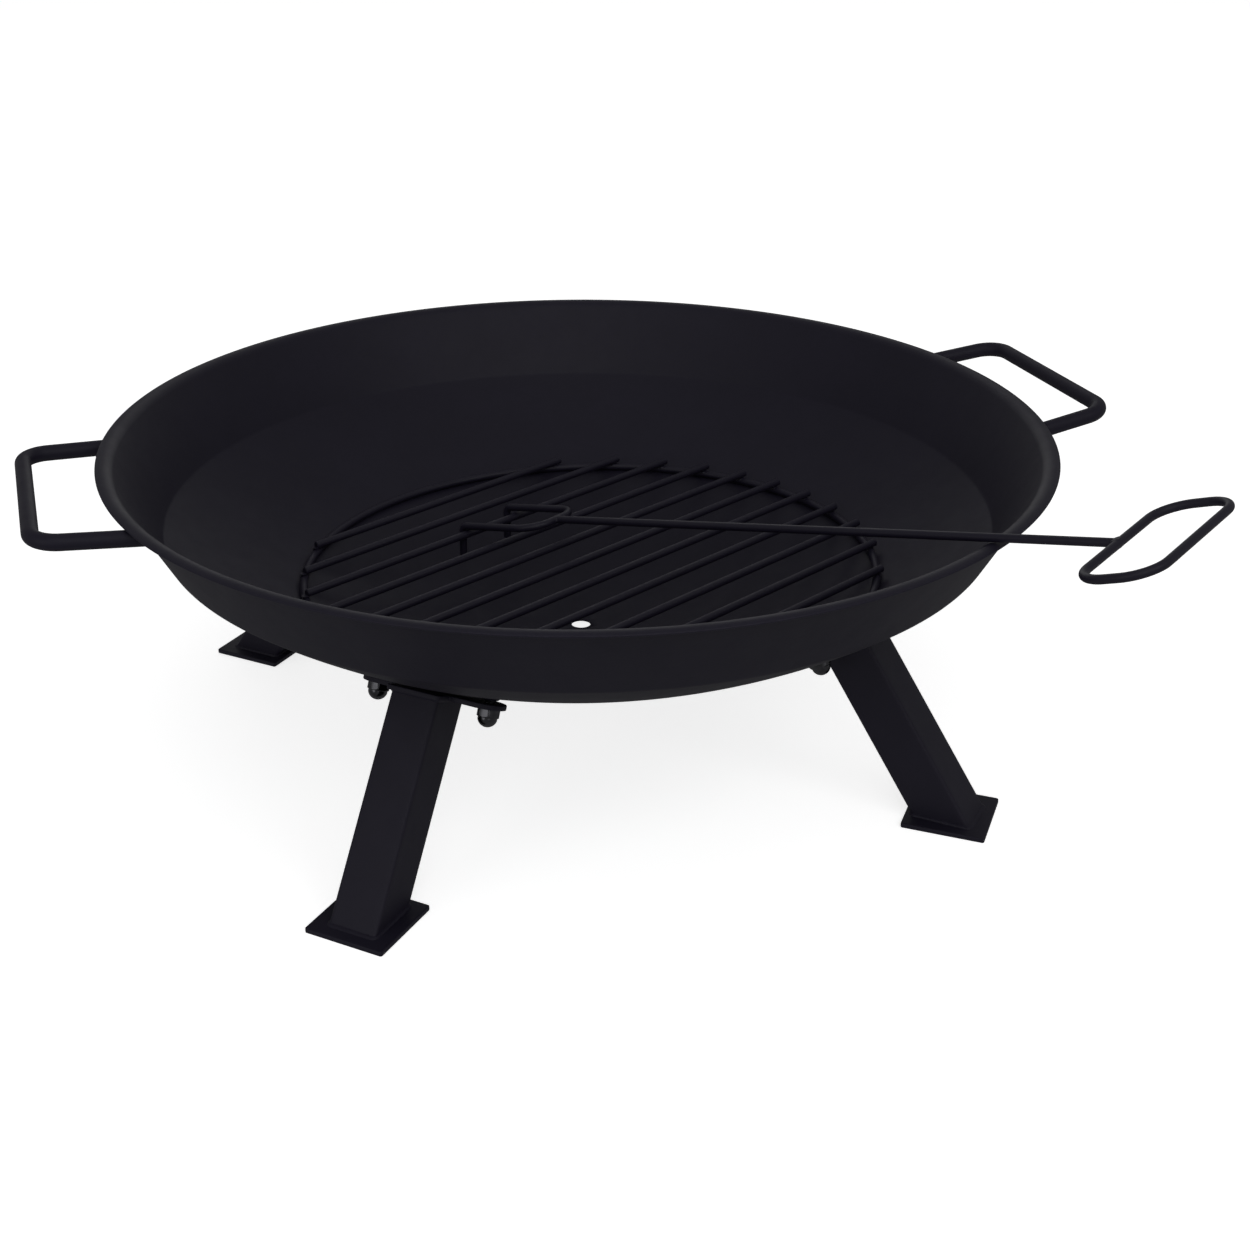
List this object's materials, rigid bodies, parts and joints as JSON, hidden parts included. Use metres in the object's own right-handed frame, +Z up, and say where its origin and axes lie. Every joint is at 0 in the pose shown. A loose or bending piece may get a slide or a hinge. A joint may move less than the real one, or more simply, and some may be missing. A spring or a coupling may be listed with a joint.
{
  "type": "fire pit with grate",
  "caption": "Shallow round steel fire bowl with a flared rim on splayed square legs, with two bent-bar handles, a loose round bar grate and a fork-ended poker.",
  "frame": {"origin": "on the ground under the middle of the bowl", "axes": "+Z up along the bowl's axis; -Y towards the viewer; +X to the viewer's right, the side the poker's handle lies on"},
  "size_m": [0.6952, 0.6, 0.2522],
  "materials": {
    "bowl_paint": "satin black high-temperature paint",
    "handle_paint": "satin black high-temperature paint",
    "leg_paint": "satin black high-temperature paint",
    "grate_paint": "satin black high-temperature paint",
    "poker_paint": "satin black high-temperature paint",
    "stud_steel": "dark zinc",
    "nut_steel": "glossy blackened steel"
  },
  "bodies": {
    "stand": {"bowl": "bowl_paint", "handle_left": "handle_paint", "handle_right": "handle_paint", "leg_tube_1": "leg_paint", "leg_tube_2": "leg_paint", "leg_tube_3": "leg_paint", "leg_tube_4": "leg_paint", "foot_plate_1": "leg_paint", "foot_plate_2": "leg_paint", "foot_plate_3": "leg_paint", "foot_plate_4": "leg_paint", "mount_plate_1": "leg_paint", "mount_plate_2": "leg_paint", "mount_plate_3": "leg_paint", "mount_plate_4": "leg_paint", "stud_1a": "stud_steel", "stud_1b": "stud_steel", "stud_2a": "stud_steel", "stud_2b": "stud_steel", "stud_3a": "stud_steel", "stud_3b": "stud_steel", "stud_4a": "stud_steel", "stud_4b": "stud_steel", "dome_nut_1a": "nut_steel", "dome_nut_1b": "nut_steel", "dome_nut_2a": "nut_steel", "dome_nut_2b": "nut_steel", "dome_nut_3a": "nut_steel", "dome_nut_3b": "nut_steel", "dome_nut_4a": "nut_steel", "dome_nut_4b": "nut_steel"},
    "grate": {"grate_ring": "grate_paint", "grate_bar_01": "grate_paint", "grate_bar_02": "grate_paint", "grate_bar_03": "grate_paint", "grate_bar_04": "grate_paint", "grate_bar_05": "grate_paint", "grate_bar_06": "grate_paint", "grate_bar_07": "grate_paint", "grate_bar_08": "grate_paint", "grate_bar_09": "grate_paint", "grate_bar_10": "grate_paint", "grate_bar_11": "grate_paint"},
    "poker": {"poker_rod": "poker_paint", "poker_fork": "poker_paint", "poker_loop": "poker_paint"}
  },
  "joints": [
    {"name": "grate_lift", "type": "slide", "parent": "stand", "child": "grate", "axis": [0, 0, 1], "range_m": [0, 0.25]},
    {"name": "poker_lift", "type": "slide", "parent": "grate", "child": "poker", "axis": [0, 0, 1], "range_m": [0, 0.2]}
  ]
}
